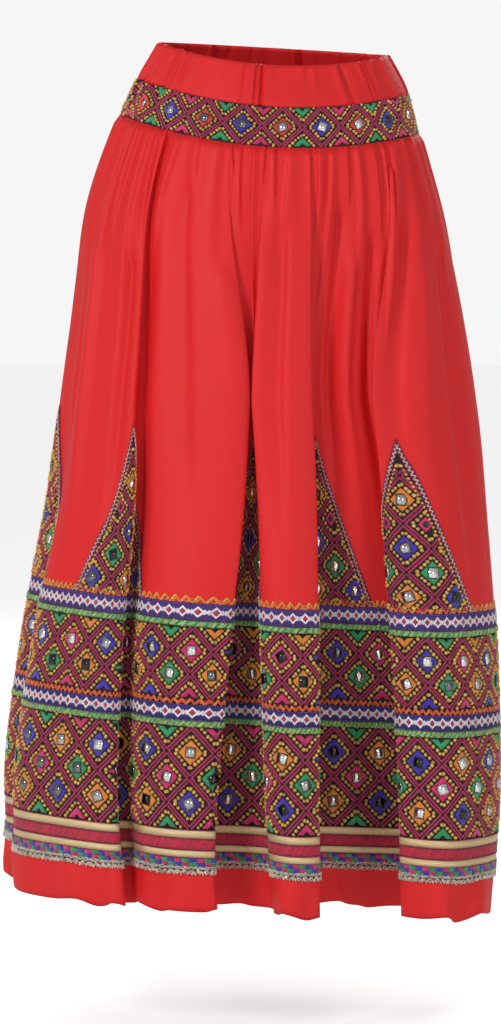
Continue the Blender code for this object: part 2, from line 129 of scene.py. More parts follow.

# %% [markdown]
# ## Creases and gathers
# The big folds come from the tables. The small ones are placed one by one, as uneven as gathers are:
# short knife pleats that leave the band and die out, long soft shadows down the body, and a few
# tight tucks in the yoke. Each has a steep side and an easy side, like cloth pushed over itself.

# %% The crease table
CREASES = (
    # column, lean, top, bottom, left width, right width, height in mm (negative is a trough)
    (1.4, 0.5, 0.098, 0.330, 0.16, 0.60, 5.5),
    (2.7, 0.3, 0.098, 0.240, 0.50, 0.15, 5.0),
    (3.9, -0.3, 0.098, 0.420, 0.16, 0.60, 6.5),
    (5.2, -0.4, 0.098, 0.300, 0.55, 0.15, 6.0),
    (6.6, -0.4, 0.098, 0.260, 0.60, 0.14, 7.0),
    (8.0, -0.3, 0.098, 0.350, 0.60, 0.16, 6.5),
    (9.3, 0.2, 0.098, 0.240, 0.50, 0.14, 6.0),
    (10.6, 0.5, 0.098, 0.460, 0.16, 0.55, -8.0),
    (12.8, -1.2, 0.098, 0.250, 0.75, 0.14, 7.5),
    (14.0, 0.2, 0.098, 0.180, 0.40, 0.13, 5.0),
    (15.2, -0.3, 0.098, 0.270, 0.75, 0.13, 6.5),
    (16.3, 0.2, 0.098, 0.200, 0.13, 0.60, 5.5),
    (17.8, 0.3, 0.098, 0.230, 0.60, 0.16, 5.0),
    (19.3, 0.2, 0.098, 0.470, 0.16, 0.80, 7.5),
    (20.9, 0.5, 0.098, 0.170, 0.55, 0.13, 5.0),
    (22.3, 0.5, 0.098, 0.210, 0.60, 0.13, 6.0),
    (23.5, -0.4, 0.105, 0.250, 0.13, 0.50, 5.5),
    (25.1, -0.3, 0.098, 0.300, 0.60, 0.20, 4.5),
    (26.9, 0.3, 0.098, 0.215, 0.14, 0.80, 6.5),
    (28.3, -0.3, 0.098, 0.330, 0.14, 0.60, 5.5),
    (29.8, 0.2, 0.098, 0.190, 0.60, 0.16, 5.0),
    (30.8, 0.5, 0.098, 0.260, 0.14, 0.65, 5.5),
    (32.7, 0.4, 0.098, 0.225, 0.65, 0.14, 6.0),
    (34.0, -0.3, 0.098, 0.380, 0.16, 0.60, 5.5),
    (35.4, -0.3, 0.098, 0.450, 0.60, 0.20, -7.5),
    (37.2, -0.4, 0.098, 0.260, 0.16, 0.60, 6.0),
    (38.6, 0.5, 0.098, 0.330, 0.60, 0.15, 5.5),
    (39.8, 0.4, 0.098, 0.240, 0.15, 0.60, 5.0),
    (41.3, -0.2, 0.098, 0.360, 0.60, 0.20, 5.0),
    (2.9, 0.3, 0.180, 0.620, 0.30, 0.80, -11.0),
    (5.0, 0.4, 0.240, 0.660, 0.60, 0.45, 7.5),
    (8.2, -0.3, 0.240, 0.640, 0.26, 0.65, -10.0),
    (13.8, 0.5, 0.150, 0.620, 0.80, 0.24, -12.0),
    (15.2, 0.3, 0.240, 0.650, 0.55, 0.35, 6.5),
    (23.3, -0.2, 0.180, 0.630, 0.60, 0.24, -10.5),
    (29.2, 0.3, 0.160, 0.620, 0.26, 0.80, -11.0),
    (30.6, 0.2, 0.220, 0.600, 0.55, 0.50, 6.0),
    (32.4, 0.4, 0.200, 0.650, 0.45, 0.30, -10.0),
    (38.0, -0.4, 0.180, 0.620, 0.65, 0.26, -10.0),
    (39.2, -0.4, 0.240, 0.520, 0.50, 0.35, 3.0),
    (40.6, 0.2, 0.220, 0.660, 0.28, 0.65, -10.0),
    (19.3, 0.15, -0.03, 0.118, 0.07, 0.50, -8.5),
    (18.4, 0.10, -0.03, 0.118, 0.60, 0.14, 6.0),
    (30.6, 1.10, -0.02, 0.075, 0.14, 0.60, -5.5),
    (29.9, 0.90, -0.02, 0.070, 0.60, 0.16, 4.5),
    (2.6, 0.3, -0.02, 0.112, 0.35, 0.16, 6.5),
    (3.4, -0.2, -0.02, 0.112, 0.20, 0.20, -4.5),
    (4.3, 0.3, -0.02, 0.112, 0.20, 0.45, 6.5),
    (5.9, -0.4, -0.02, 0.112, 0.16, 0.40, 6.5),
    (7.2, 0.2, -0.02, 0.112, 0.40, 0.16, -6.5),
    (8.7, 0.4, -0.02, 0.100, 0.50, 0.18, 5.0),
    (10.4, 0.6, -0.02, 0.070, 0.30, 0.60, 2.8),
    (12.2, -0.6, -0.02, 0.055, 0.60, 0.30, 2.6),
    (14.6, -0.5, -0.02, 0.048, 0.50, 0.25, 2.4),
    (16.6, 0.3, -0.02, 0.075, 0.25, 0.50, 2.6),
    (21.6, -0.4, -0.02, 0.040, 0.40, 0.60, 2.2),
    (24.4, 0.5, -0.02, 0.035, 0.60, 0.60, 2.0),
    (27.3, -0.3, -0.02, 0.045, 0.50, 0.40, 2.2),
    (33.4, 0.4, -0.02, 0.060, 0.40, 0.60, 2.4),
    (35.4, 0.3, -0.02, 0.095, 0.30, 0.60, 3.0),
    (37.6, -0.3, -0.02, 0.060, 0.50, 0.30, 2.6),
    (39.5, -0.3, -0.02, 0.100, 0.50, 0.25, 3.4),
    (1.4, 0.9, 0.900, 1.040, 0.50, 0.25, 7.0),
    (3.6, -1.2, 0.905, 1.060, 0.30, 0.80, 8.5),
    (7.0, 1.4, 0.895, 1.060, 0.70, 0.30, 9.0),
    (8.4, -0.7, 0.930, 1.080, 0.30, 0.50, -6.0),
    (9.2, -0.6, 0.915, 1.060, 0.25, 0.60, 7.0),
    (11.6, 1.0, 0.900, 1.060, 0.35, 0.90, 8.0),
    (13.9, -1.3, 0.905, 1.060, 0.70, 0.30, -8.0),
    (15.3, 0.7, 0.925, 1.080, 0.25, 0.60, 6.5),
    (16.9, 0.8, 0.905, 1.070, 0.30, 0.80, 8.0),
    (19.6, -0.8, 0.920, 1.060, 0.60, 0.30, 6.5),
    (22.2, 1.2, 0.905, 1.060, 0.30, 0.80, 7.0),
    (24.2, -0.8, 0.915, 1.060, 0.70, 0.35, -6.5),
    (26.6, 0.7, 0.900, 1.060, 0.30, 0.60, 7.0),
    (28.8, 1.3, 0.910, 1.060, 0.90, 0.30, 8.0),
    (31.0, -0.9, 0.920, 1.080, 0.30, 0.60, -6.5),
    (33.0, -1.0, 0.900, 1.070, 0.30, 0.90, 8.0),
    (35.2, 0.6, 0.915, 1.060, 0.50, 0.25, 6.5),
    (38.2, 1.2, 0.900, 1.070, 0.70, 0.30, 8.5),
    (39.7, -0.6, 0.920, 1.060, 0.25, 0.50, -6.0),
    (41.0, -0.9, 0.905, 1.060, 0.35, 0.80, 8.0),
)
# The hidden side's creases are mirrored. They start past the side seam and stand a little closer.
HIDDEN_SIDE, CLOSER = COLUMNS / 2 + 1.3, 0.97
print(len(CREASES), "creases on the side that is looked at, and as many on the other")

# %% [markdown]
# ## From the tables to a surface
# A cloth simulation could find such folds by itself, but it would push the pleats and trims out
# of place. So functions work out the point of the cloth at any column and drop: first the outline,
# then the large folds, which open below the band, and last the creases, as soft ridges and troughs
# along the cloth's own outward direction. Everything else is laid on this one surface.

# %% The surface as functions of column and drop
PLEAT_FADE_IN, WRINKLE_FADE_IN, CREASE_FADE_OUT = 0.05, 0.5, 0.6
HEM_DRAW = 0.7


def smooth_rows(rows, at):
    """A table's columns at these values of its first one, on a smooth curve through its rows."""
    rows = np.asarray(rows, float)
    keys = rows[:, 0]
    slopes = np.gradient(rows[:, 1:], keys, axis=0)
    row = np.clip(np.searchsorted(keys, at, side="right") - 1, 0, len(keys) - 2)
    step = (keys[row + 1] - keys[row])[..., None]
    t = (at - keys[row])[..., None] / step
    blend = t * t * (3 - 2 * t)
    straight = rows[row, 1:] * (1 - blend) + rows[row + 1, 1:] * blend
    return straight + step * t * (1 - t) * ((1 - t) * slopes[row] - t * slopes[row + 1])


def folds_at(column, across, near):
    """Turn and reach at these places round the skirt, from two columns of the fold table."""
    table = np.array(FOLDS)
    turn = np.unwrap(np.arctan2(table[:, across], table[:, near]))
    reach = np.hypot(table[:, across], table[:, near])
    once = np.stack((table[:, 0], turn, reach), axis=-1)
    round_again = np.array((COLUMNS, 2 * math.pi, 0))
    return smooth_rows(np.concatenate((once - round_again, once, once + round_again)), column)


def ease(share):
    """A share from 0 to 1, made to start and stop softly."""
    share = np.clip(share, 0, 1)
    return share * share * (3 - 2 * share)


def smooth_cloth(column, drop):
    """The cloth with its large folds only. Turn is the angle round the skirt, and reach the radius."""
    level = smooth_rows(OUTLINE, drop)
    low = np.clip((drop - KNEE) / (LENGTH - KNEE), 0, 1)[..., None]
    knee = folds_at(column, 3, 4)
    folded = knee * (1 - low) + folds_at(column, 1, 2) * low
    # the waist has no folds, but its columns already lean towards those below
    even = column * 2 * math.pi / COLUMNS - math.pi / 2
    even = even + (knee[..., 0] - even) * BAND_LEAN
    opened = ease((drop - BODY_FOLDS_BEGIN) / (KNEE - BODY_FOLDS_BEGIN))
    turn = even + (folded[..., 0] - even) * opened
    reach = 1 + (folded[..., 1] - 1) * opened
    x = level[..., 0] * reach * np.sin(turn)
    y = -level[..., 1] * reach * np.cos(turn)
    # a level slopes down to the right and sags in the middle of the side that is looked at
    sag = level[..., 5] * np.maximum(np.cos(turn), 0) ** 2
    z = -level[..., 4] - level[..., 3] * x - sag
    return np.stack((x + level[..., 2], y, z), axis=-1)


def crease_height(column, drop):
    """How far the small creases stand out of the cloth, in metres. The hidden side's are mirrored."""
    height = np.zeros_like(column)
    for number, (middle, lean, top, bottom, left, right, rise) in enumerate(CREASES):
        if top > drop.max() or bottom < drop.min():
            continue
        share = (drop - top) / (bottom - top)
        fade_in = PLEAT_FADE_IN if bottom < LENGTH else WRINKLE_FADE_IN
        fade = ease(share / fade_in) * ease((1 - share) / CREASE_FADE_OUT)
        metres = rise / 1000 * (1 - 0.12 * (number % 3))
        for side, start in ((1, middle), (-1, middle * CLOSER + HIDDEN_SIDE)):
            place = start + lean * side * share
            away = (column - place + COLUMNS / 2) % COLUMNS - COLUMNS / 2
            width = np.where(away * side < 0, left, right)
            height += metres * fade * np.exp(-((away / width) ** 2))
    return height


def shape(column, drop):
    """The cloth with its creases. At the hem a crease also draws the edge up or lets it down."""
    point = smooth_cloth(column, drop)
    height = crease_height(column, drop)
    beside = 0.05
    side = smooth_cloth(column + beside, drop) - smooth_cloth(column - beside, drop)
    out = np.stack((side[..., 1], -side[..., 0], np.zeros_like(side[..., 0])), axis=-1)
    out /= np.linalg.norm(out, axis=-1, keepdims=True)
    point += out * height[..., None]
    point[..., 2] += height * HEM_DRAW * ease((drop - HEM_TOP) / (LENGTH - HEM_TOP))
    return point


def surface(column, drop, lift=0.0):
    """Points on the cloth's outer side, moved out by the lift."""
    column, drop, lift = np.broadcast_arrays(
        np.asarray(column, float), np.asarray(drop, float), np.asarray(lift, float)
    )
    beside, below = 0.04, 0.001
    point = shape(column, drop)
    along = shape(column + beside, drop) - shape(column - beside, drop)
    down = shape(column, drop + below) - shape(column, drop - below)
    out = np.cross(down, along)
    out /= np.linalg.norm(out, axis=-1, keepdims=True)
    return point + out * lift[..., None]


sample = surface(np.array([COLUMNS / 4]), np.array([0.5]))[0]
print("the middle of the side that is looked at", [round(float(value), 3) for value in sample])

# %% [markdown]
# ## Camera and light
# A long lens, a little above the middle of the skirt, sees the folds without bending them. Large
# soft lamps on both sides and a pale floor give even light. A bright world would wash out the
# folds, so the surround is made white only where the camera sees it directly, by a Light Path
# node, and what it gives the cloth stays low.

# %% Camera, floor and lamps
PICTURE_HEIGHT = 1.1776
DISTANCE = 7.0
ELEVATION = math.radians(5.0)
SENSOR = 36.0
target = np.array((-0.026, -0.10, -0.536))
camera_data = bpy.data.cameras.new("camera")
camera_data.sensor_fit = "VERTICAL"
camera_data.sensor_height = SENSOR
camera_data.lens = SENSOR * DISTANCE / PICTURE_HEIGHT
camera = bpy.data.objects.new("camera", camera_data)
camera.location = target + DISTANCE * np.array((0, -math.cos(ELEVATION), math.sin(ELEVATION)))
camera.rotation_euler = (math.pi / 2 - ELEVATION, 0, 0)
bpy.context.scene.collection.objects.link(camera)
bpy.context.scene.camera = camera

FLOOR = -1.13


def principled(name):
    """A new material and the shader and node tree in it."""
    made = bpy.data.materials.new(name)
    made.use_nodes = True
    return made, made.node_tree.nodes["Principled BSDF"], made.node_tree


bpy.ops.object.select_all(action="DESELECT")
bpy.ops.mesh.primitive_plane_add(size=24, location=(0, 0, FLOOR))
floor = bpy.context.object
floor.name = "floor"
floor_paint, floor_shader, floor_tree = principled("pale_floor")
floor_shader.inputs["Base Color"].default_value = (0.88, 0.88, 0.88, 1)
floor_shader.inputs["Roughness"].default_value = 0.7
floor.data.materials.append(floor_paint)


def lamp(name, place, size, watts, aim=(0, 0, -0.5)):
    """A round soft lamp that points at the middle of the skirt."""
    light = bpy.data.lights.new(name, "AREA")
    light.shape = "DISK"
    light.size = size
    light.energy = watts
    holder = bpy.data.objects.new(name, light)
    holder.location = place
    way = np.array(aim, float) - np.array(place, float)
    flat = math.hypot(way[0], way[1])
    holder.rotation_euler = (math.pi / 2 + math.atan2(way[2], flat), 0, math.atan2(-way[0], way[1]))
    bpy.context.scene.collection.objects.link(holder)


lamp("key", (-2.3, -3.0, 1.5), 1.1, 76)
lamp("fill", (2.6, -2.8, 0.4), 2.2, 24)
lamp("behind", (0.6, 3.2, 1.4), 2.4, 50)
world = bpy.data.worlds.new("studio")
world.use_nodes = True
world.node_tree.nodes["Background"].inputs["Color"].default_value = (1, 1, 1, 1)
bpy.context.scene.world = world
WORLD_LIGHT, WHITE, FLOOR_GLOW = 0.42, 0.92, 0.50


def seen_brighter(tree, socket, plain, extra):
    """Drive a strength that is higher for what the camera sees than for the light it gives."""
    path = tree.nodes.new("ShaderNodeLightPath")
    node = tree.nodes.new("ShaderNodeMath")
    node.operation = "MULTIPLY_ADD"
    node.inputs[1].default_value = extra
    node.inputs[2].default_value = plain
    tree.links.new(path.outputs["Is Camera Ray"], node.inputs[0])
    tree.links.new(node.outputs[0], socket)


backdrop = world.node_tree.nodes["Background"]
seen_brighter(world.node_tree, backdrop.inputs["Strength"], WORLD_LIGHT, WHITE - WORLD_LIGHT)
floor_shader.inputs["Emission Color"].default_value = (1, 1, 1, 1)
seen_brighter(floor_tree, floor_shader.inputs["Emission Strength"], 0.0, FLOOR_GLOW)
bpy.context.scene.view_settings.view_transform = "Standard"
print("camera", round(camera_data.lens), "mm lens at", DISTANCE, "m")

# %% [markdown]
# ## Effects that several materials share
# Plain weave, stitched thread and slow change of tone show on nearly every piece, so each is a
# node group. A group puts out only a tone or a height. The shader and its plain numbers stay in
# each material.

# %% Node group helpers
def new_group(name, inputs, outputs):
    """An empty node group with these float or vector inputs and float outputs."""
    tree = bpy.data.node_groups.new(name, "ShaderNodeTree")
    for label, kind, value in inputs:
        socket = tree.interface.new_socket(label, in_out="INPUT", socket_type=f"NodeSocket{kind}")
        if kind == "Float":
            socket.default_value = value
    for label in outputs:
        tree.interface.new_socket(label, in_out="OUTPUT", socket_type="NodeSocketFloat")
    return tree, tree.nodes.new("NodeGroupInput"), tree.nodes.new("NodeGroupOutput")


def math_node(tree, operation, first, second=None):
    """A Math node fed by sockets or plain numbers, and its output."""
    node = tree.nodes.new("ShaderNodeMath")
    node.operation = operation
    for socket, value in zip(node.inputs, (first, second)):
        if value is None:
            continue
        if isinstance(value, (int, float)):
            socket.default_value = value
        else:
            tree.links.new(value, socket)
    return node.outputs[0]


def weave_group():
    """Over and under threads in the cloth's own metres, with slubs; puts out a height and a tone."""
    tree, source, result = new_group(
        "plain_weave",
        (("Vector", "Vector", None), ("Threads per metre", "Float", 900.0), ("Slub", "Float", 0.5)),
        ("Height", "Tone"),
    )
    split = tree.nodes.new("ShaderNodeSeparateXYZ")
    tree.links.new(source.outputs["Vector"], split.inputs[0])
    turns = math_node(tree, "MULTIPLY", source.outputs["Threads per metre"], math.pi)
    warp = math_node(tree, "SINE", math_node(tree, "MULTIPLY", split.outputs[0], turns))
    weft = math_node(tree, "SINE", math_node(tree, "MULTIPLY", split.outputs[1], turns))
    over = math_node(tree, "MULTIPLY", warp, weft)
    stretch = tree.nodes.new("ShaderNodeMapping")
    stretch.inputs["Scale"].default_value = (260, 9, 1)
    tree.links.new(source.outputs["Vector"], stretch.inputs["Vector"])
    slub = tree.nodes.new("ShaderNodeTexNoise")
    slub.inputs["Scale"].default_value = 1.0
    slub.inputs["Detail"].default_value = 3.0
    tree.links.new(stretch.outputs[0], slub.inputs["Vector"])
    wander = math_node(tree, "SUBTRACT", slub.outputs[0], 0.5)
    uneven = math_node(tree, "MULTIPLY", wander, source.outputs["Slub"])
    height = math_node(tree, "ADD", math_node(tree, "MULTIPLY", over, 0.5), uneven)
    tree.links.new(height, result.inputs["Height"])
    tree.links.new(math_node(tree, "ADD", uneven, 0.5), result.inputs["Tone"])
    return tree


def thread_group():
    """Fine parallel threads across one direction, each a little different; a height, and a tone with
    painted groove shade.
    """
    tree, source, result = new_group(
        "laid_thread",
        (("Vector", "Vector", None), ("Threads per metre", "Float", 1800.0)),
        ("Height", "Tone"),
    )
    split = tree.nodes.new("ShaderNodeSeparateXYZ")
    tree.links.new(source.outputs["Vector"], split.inputs[0])
    place = math_node(tree, "MULTIPLY", split.outputs[0], source.outputs["Threads per metre"])
    wave = math_node(tree, "SINE", math_node(tree, "MULTIPLY", place, math.pi))
    crown = math_node(tree, "ABSOLUTE", wave)
    tree.links.new(crown, result.inputs["Height"])
    each = tree.nodes.new("ShaderNodeTexWhiteNoise")
    each.noise_dimensions = "1D"
    tree.links.new(math_node(tree, "FLOOR", place), each.inputs["W"])
    shade = math_node(tree, "MULTIPLY", math_node(tree, "SUBTRACT", each.outputs[0], 0.5), 0.35)
    # painted shade: the tone is darker in the grooves between threads and a little lighter on their crowns
    dark = math_node(tree, "MULTIPLY", math_node(tree, "SUBTRACT", crown, 0.6), 0.45)
    tone = math_node(tree, "ADD", math_node(tree, "ADD", shade, dark), 0.5)
    tree.links.new(tone, result.inputs["Tone"])
    return tree


WEAVE = weave_group()
THREAD = thread_group()
print("node groups", WEAVE.name, THREAD.name)

# %% [markdown]
# ## The finishes
# The red cloth is smooth cotton silk: a fine weave, a soft sheen, and a tone that wanders a little.
# The thread finish takes its colour from each stitch, so one material serves every embroidery
# colour, with painted shade in the grooves between threads. Mirrors are hard and bright, each a
# little turned from its neighbours, and their glass is painted brighter or darker as a painted
# reflection.

# %% Materials
def tinted(tree, colour, tone, depth):
    """A colour made darker and lighter by a tone that lies about one half."""
    ramp = tree.nodes.new("ShaderNodeMapRange")
    ramp.inputs["To Min"].default_value = 1 - depth
    ramp.inputs["To Max"].default_value = 1 + depth
    tree.links.new(tone, ramp.inputs["Value"])
    scale = tree.nodes.new("ShaderNodeVectorMath")
    scale.operation = "SCALE"
    if isinstance(colour, tuple):
        scale.inputs[0].default_value = colour
    else:
        tree.links.new(colour, scale.inputs[0])
    tree.links.new(ramp.outputs[0], scale.inputs["Scale"])
    return scale.outputs[0]


def bump(tree, shader, height, metres):
    """Turn a height from 0 to 1 into a bumpy surface this deep."""
    node = tree.nodes.new("ShaderNodeBump")
    node.inputs["Distance"].default_value = metres
    node.inputs["Strength"].default_value = 1.0
    tree.links.new(height, node.inputs["Height"])
    tree.links.new(node.outputs[0], shader.inputs["Normal"])


def pattern_group(tree, group, vector, **values):
    """A shared node group placed in a material, with its own values."""
    node = tree.nodes.new("ShaderNodeGroup")
    node.node_tree = group
    tree.links.new(vector, node.inputs["Vector"])
    for label, value in values.items():
        node.inputs[label.replace("_", " ")].default_value = value
    return node


def cloth_material(name, colour, roughness, sheen, depth=0.10, threads=900.0, relief=0.00008):
    """Woven cloth in one colour."""
    made, shader, tree = principled(name)
    uv = tree.nodes.new("ShaderNodeUVMap")
    uv.uv_map = "cloth"
    weave = pattern_group(tree, WEAVE, uv.outputs[0], Threads_per_metre=threads)
    place = tree.nodes.new("ShaderNodeTexCoord")
    slow = tree.nodes.new("ShaderNodeTexNoise")
    slow.inputs["Scale"].default_value = 9.0
    slow.inputs["Detail"].default_value = 2.0
    tree.links.new(place.outputs["Object"], slow.inputs["Vector"])
    slow_tone = math_node(tree, "MULTIPLY", slow.outputs[0], 0.6)
    fine_tone = math_node(tree, "MULTIPLY", weave.outputs["Tone"], 0.4)
    tone = math_node(tree, "ADD", slow_tone, fine_tone)
    tree.links.new(tinted(tree, colour, tone, depth), shader.inputs["Base Color"])
    shader.inputs["Roughness"].default_value = roughness
    shader.inputs["Sheen Weight"].default_value = sheen
    shader.inputs["Sheen Roughness"].default_value = 0.4
    shader.inputs["Sheen Tint"].default_value = (1.0, 0.35, 0.3, 1)
    bump(tree, shader, weave.outputs["Height"], relief)
    return made


def thread_material(name, roughness, metallic=0.0, threads=1800.0, relief=0.00025):
    """Thread whose colour comes from each stitch's own attribute."""
    made, shader, tree = principled(name)
    uv = tree.nodes.new("ShaderNodeUVMap")
    uv.uv_map = "cloth"
    laid = pattern_group(tree, THREAD, uv.outputs[0], Threads_per_metre=threads)
    colour = tree.nodes.new("ShaderNodeAttribute")
    colour.attribute_name = "thread"
    # the laid thread's tone carries its painted groove shade into the thread colour
    shade = tinted(tree, colour.outputs["Color"], laid.outputs["Tone"], 0.45)
    tree.links.new(shade, shader.inputs["Base Color"])
    shader.inputs["Roughness"].default_value = roughness
    shader.inputs["Metallic"].default_value = metallic
    shader.inputs["Sheen Weight"].default_value = 0.25
    bump(tree, shader, laid.outputs["Height"], relief)
    return made


red_cloth = cloth_material("red_cotton_silk", (0.74, 0.016, 0.018), 0.58, 0.06)
red_cloth.node_tree.nodes["Principled BSDF"].inputs["Specular IOR Level"].default_value = 0.30
dark_cloth = cloth_material("dark_ground_cloth", (0.018, 0.006, 0.010), 0.85, 0.05, depth=0.4)
purple_cloth = cloth_material("purple_lace_ground", (0.065, 0.022, 0.17), 0.8, 0.2, threads=700)
navy_cloth = cloth_material("navy_lace_ground", (0.035, 0.018, 0.14), 0.8, 0.2, threads=700)
green_cloth = cloth_material("green_strip", (0.10, 0.27, 0.06), 0.75, 0.2, threads=600)
maroon_cloth = cloth_material("maroon_braid_ground", (0.20, 0.012, 0.07), 0.7, 0.2, threads=700)
stitched = thread_material("embroidery_thread", 0.45)
silver_thread = thread_material("silver_thread", 0.35, metallic=0.55)
mirror, mirror_shader, mirror_tree = principled("mirror_glass")
# the glass colour is each mirror's painted reflection, brighter or darker
mirror_painted_reflection = mirror_tree.nodes.new("ShaderNodeAttribute")
mirror_painted_reflection.attribute_name = "thread"
mirror_tree.links.new(mirror_painted_reflection.outputs["Color"], mirror_shader.inputs["Base Color"])
mirror_shader.inputs["Metallic"].default_value = 1.0
mirror_shader.inputs["Roughness"].default_value = 0.12
print(len(bpy.data.materials), "materials")

# %% [markdown]
# ## Thin closed sheets of cloth
# A sheet is a grid of points on the surface with a second grid just under it, joined round the
# edge, so that it is a closed shell about a millimetre thick. Its UV map is the flat cloth in
# metres, which keeps the weave straight down every fold.

# %% Sheet builder
# %% Sheet builder
def link(mesh, name, material):
    """Put a mesh in the scene as a smooth piece with one material."""
    piece = bpy.data.objects.new(name, mesh)
    bpy.context.scene.collection.objects.link(piece)
    mesh.materials.append(material)
    mesh.shade_smooth()
    return piece


def shell(name, outer, inner, flat, material, closed=False):
    """A closed shell between two grids of points. A ring's flat grid, its UVs, has one column more."""
    levels, count = outer.shape[:2]
    steps = count if closed else count - 1
    faces, corners = [], []

    def add_quads(*places):
        """Quads from four places: rows, columns, and 0 for the outer or 1 for the inner grid."""
        numbers = [(side * levels + row) * count + column % count for row, column, side in places]
        faces.append(np.stack(numbers, axis=-1))
        corners.append(np.stack([flat[row, column] for row, column, _ in places], axis=1))

    i, j = (grid.ravel() for grid in np.meshgrid(np.arange(steps), np.arange(levels - 1)))
    add_quads((j, i, 0), (j + 1, i, 0), (j + 1, i + 1, 0), (j, i + 1, 0))
    add_quads((j, i, 1), (j, i + 1, 1), (j + 1, i + 1, 1), (j + 1, i, 1))
    step = np.arange(steps)
    top, low = np.zeros(steps, int), np.full(steps, levels - 1)
    add_quads((top, step, 0), (top, step + 1, 0), (top, step + 1, 1), (top, step, 1))
    add_quads((low, step, 0), (low, step, 1), (low, step + 1, 1), (low, step + 1, 0))
    if not closed:
        row = np.arange(levels - 1)
        first, last = np.zeros(levels - 1, int), np.full(levels - 1, count - 1)
        add_quads((row, first, 0), (row, first, 1), (row + 1, first, 1), (row + 1, first, 0))
        add_quads((row, last, 0), (row + 1, last, 0), (row + 1, last, 1), (row, last, 1))
    mesh = bpy.data.meshes.new(name)
    points = np.concatenate((outer.reshape(-1, 3), inner.reshape(-1, 3)))
    mesh.from_pydata(points, [], np.concatenate(faces).tolist())
    uv = mesh.uv_layers.new(name="cloth")
    uv.data.foreach_set("uv", np.concatenate(corners).reshape(-1).astype(np.float32))
    mesh.update()
    return link(mesh, name, material)


def cloth_sheet(
    name, first, last, top, bottom, material, lift=0.0, thickness=CLOTH, fine=6, row=0.006, closed=False
):
    """A sheet between two columns and two drops, with this many samples a column."""
    count = max(2, round((last - first) * fine) + 1)
    levels = max(2, round((bottom - top) / row) + 1)
    columns = np.linspace(first, last, count)
    drops = np.linspace(top, bottom, levels)
    flat = np.stack(np.meshgrid(columns * COLUMN, -drops), axis=-1)
    if closed:
        columns = columns[:-1]
    column_grid, drop_grid = np.meshgrid(columns, drops)
    outer = surface(column_grid, drop_grid, lift)
    inner = surface(column_grid, drop_grid, lift - thickness)
    return shell(name, outer, inner, flat, material, closed)


print("a sheet is", CLOTH * 1000, "mm thick")

# %% [markdown]
# ## The skirt's own cloth
# Each strip is cut in two, a back and a front, with a seam at each side. The body is cut with
# a narrower top than hem and gathered into the band, and a hidden string draws in the yoke. All
# six strips are the same kind of sheet, so one table and one loop make them: the red body gets
# the finest grid, because nothing covers its creases.

# %% Yoke, band, body, panels and hem
GAP = 0.0003
SEAM = GAP / 2 / COLUMN
STRIPS = (
    # name, top, bottom, material, samples a column, row height, flat width, flat height, flat area
    ("yoke", 0.0, BAND_TOP, red_cloth, 7, 0.005, 0.50, 0.050, None),
    ("band", BAND_TOP + GAP, BODY_TOP, dark_cloth, 6, 0.005, 0.52, 0.051, None),
    ("body", BODY_TOP + GAP, PANEL_1_TOP, red_cloth, 9, 0.0115, 1.20, 0.56, 0.56),
    ("border_upper", PANEL_1_TOP + GAP, PANEL_2_TOP, dark_cloth, 6, 0.0075, 1.20, 0.088, None),
    ("border_lower", PANEL_2_TOP + GAP, HEM_TOP, dark_cloth, 6, 0.0075, 1.20, 0.14, None),
    ("hem", HEM_TOP + GAP, LENGTH, red_cloth, 7, 0.0065, 1.20, 0.093, None),
)
for name, top, bottom, finish, fine, row, width, height, area in STRIPS:
    for side, first in (("back", 0.0), ("front", COLUMNS / 2)):
        left, right = first + SEAM, first + COLUMNS / 2 - SEAM
        piece = cloth_sheet(f"{name}_{side}_cloth", left, right, top, bottom, finish, fine=fine, row=row)
        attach(piece, "root")
        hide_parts(f"{name}_{side}")
    print(name, len(piece.data.polygons), "faces a side")

# %% [markdown]
# ## Small shapes to stamp
# Thousands of stitches, knots and mirrors lie on the panels. Each kind is modelled once, from a
# primitive that is shaped in edit mode: a knot is a blunt cone, a stitch a bar with a narrower
# back, a mirror a thin tile, and a satin frame a square whose edge is drawn up, over and down
# again. They are about one metre across, and every copy is scaled where it is stamped. They have
# few faces, because there are so many of them.

# %% Modelling the small shapes
class Bit:
    """The points and faces of one small shape."""

    def __init__(self, points, faces):
        self.points = np.asarray(points, float)
        self.faces = faces
        self.sizes = np.array([len(face) for face in faces])
        self.corners = np.concatenate([np.array(face) for face in faces])


def take_bit():
    """Turn the active object into a bit whose underside lies on zero, and remove it."""
    made = bpy.context.object
    points = np.array([tuple(vert.co) for vert in made.data.vertices])
    faces = [tuple(polygon.vertices) for polygon in made.data.polygons]
    bpy.data.objects.remove(made)
    points[:, 2] -= points[:, 2].min()
    return Bit(points, faces)


def start_bit():
    """Leave nothing selected before a new primitive is added."""
    bpy.ops.object.select_all(action="DESELECT")


def shape_active(work):
    """Do this work on the new object in edit mode, with all of it selected."""
    bpy.ops.object.mode_set(mode="EDIT")
    bpy.ops.mesh.select_all(action="SELECT")
    work()
    bpy.ops.object.mode_set(mode="OBJECT")


def square_up():
    """Turn a shape that stands on a corner so that its sides lie along the threads."""
    bpy.ops.transform.rotate(value=math.pi / 4, orient_axis="Z", center_override=(0, 0, 0))


def knot_bit():
    """A round knot of thread."""
    start_bit()
    bpy.ops.mesh.primitive_cone_add(vertices=5, radius1=0.54, radius2=0.26, depth=0.5)
    return take_bit()


